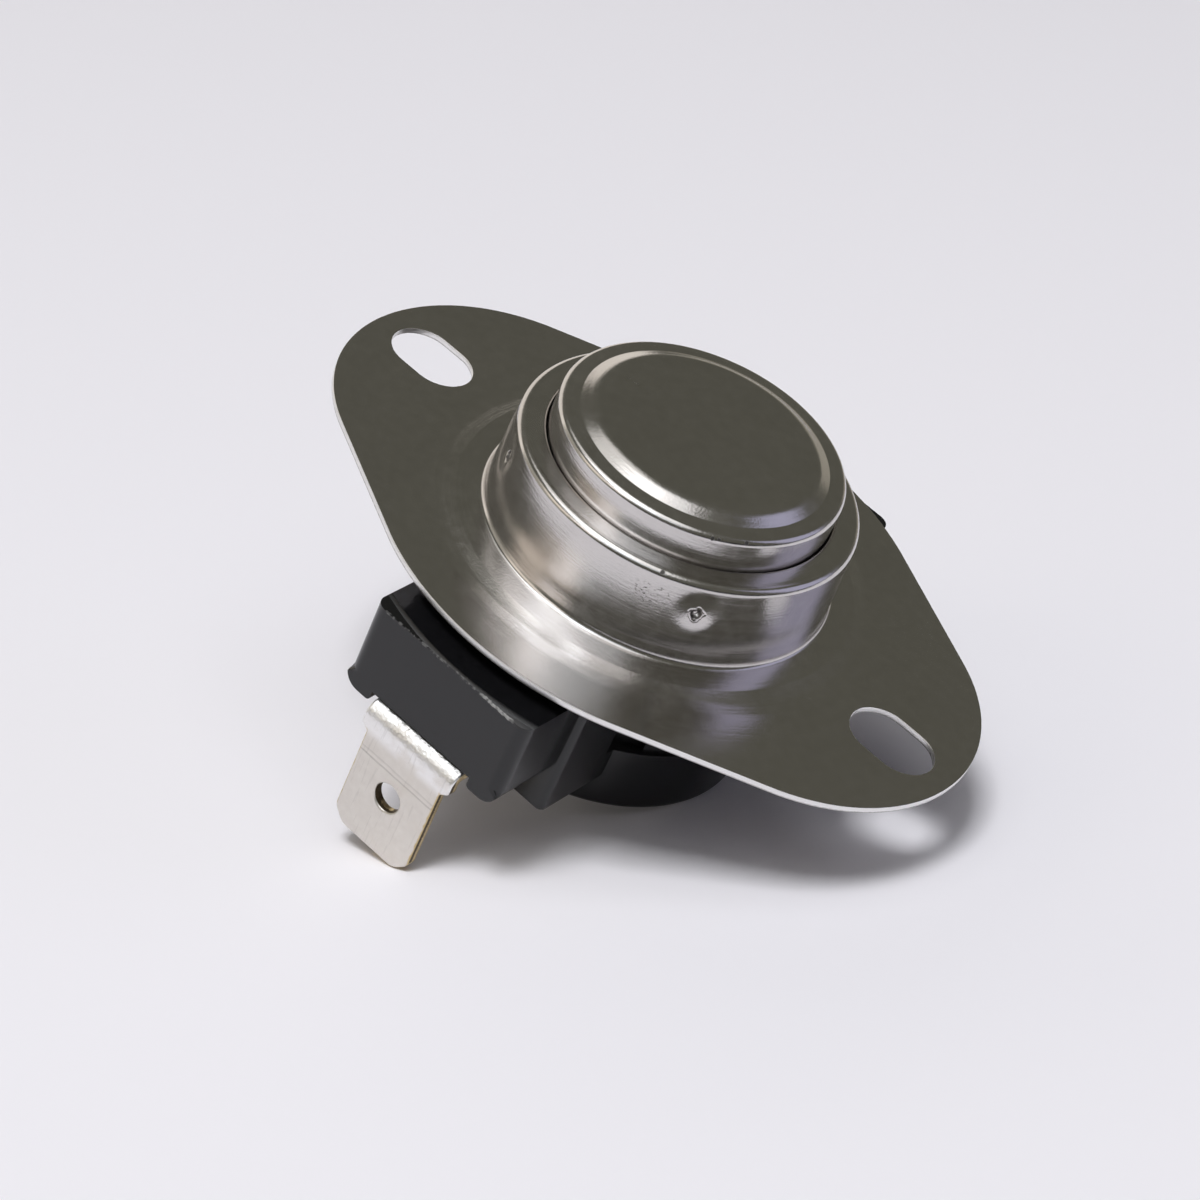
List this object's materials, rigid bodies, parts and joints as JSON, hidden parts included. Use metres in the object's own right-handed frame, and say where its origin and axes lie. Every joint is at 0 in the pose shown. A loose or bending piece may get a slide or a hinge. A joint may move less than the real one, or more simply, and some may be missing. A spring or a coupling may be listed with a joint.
{
  "type": "snap-disc thermostat",
  "caption": "Round snap-disc temperature switch: raised metal sensing cap in a collar on a slotted mounting plate, black moulded body below with opposed blade terminals.",
  "frame": {"origin": "where the sensing cap's axis meets the plane of the mounting plate's cap-side face", "axes": "+Z along the cap's axis and out of the cap, +X along the plate's long axis through both screw slots, -Y towards the terminal that carries the fixed contact"},
  "size_m": [0.0498, 0.0414, 0.0265],
  "materials": {
    "plate_steel": "satin plated steel",
    "cap_steel": "satin plated steel",
    "black_moulding": "half-matt thermoset moulding",
    "brown_moulding": "matt thermoset moulding",
    "tinned_brass": "tin plated, bare brass at the cut edges",
    "rivet_brass": "bare brass",
    "disc_bimetal": "rolled strip",
    "pin_ceramic": "fired, matt",
    "leaf_copper": "rolled copper alloy spring strip",
    "contact_silver": "silver faced"
  },
  "bodies": {
    "base": {"mounting_flange": "plate_steel", "sensing_cap": "cap_steel", "bimetal_disc": "disc_bimetal", "pin_guide": "brown_moulding", "switch_housing": "black_moulding", "front_terminal": "tinned_brass", "rear_terminal": "tinned_brass", "front_terminal_rivet": "rivet_brass", "rear_terminal_rivet": "rivet_brass", "fixed_contact": "contact_silver", "arm_rivet": "rivet_brass"},
    "pin": {"transfer_pin": "pin_ceramic"},
    "arm": {"spring_arm": "leaf_copper", "moving_contact": "contact_silver"}
  },
  "joints": [
    {"name": "pin_slide", "type": "slide", "parent": "base", "child": "pin", "axis": [0, 0, -1], "range_m": [0, 0.0004], "deforming": ["bimetal_disc"]},
    {"name": "arm_bend", "type": "hinge", "parent": "base", "child": "arm", "pos_m": [0, 0.0056, -0.0086], "axis": [1, 0, 0], "range_deg": [0, 4.12], "stiffness_Nm_per_rad": 0.01, "springref_deg": -2.86}
  ],
  "couplings": [
    {"joint": "arm_bend", "follows": "pin_slide", "rad_per_m": 178.57}
  ]
}
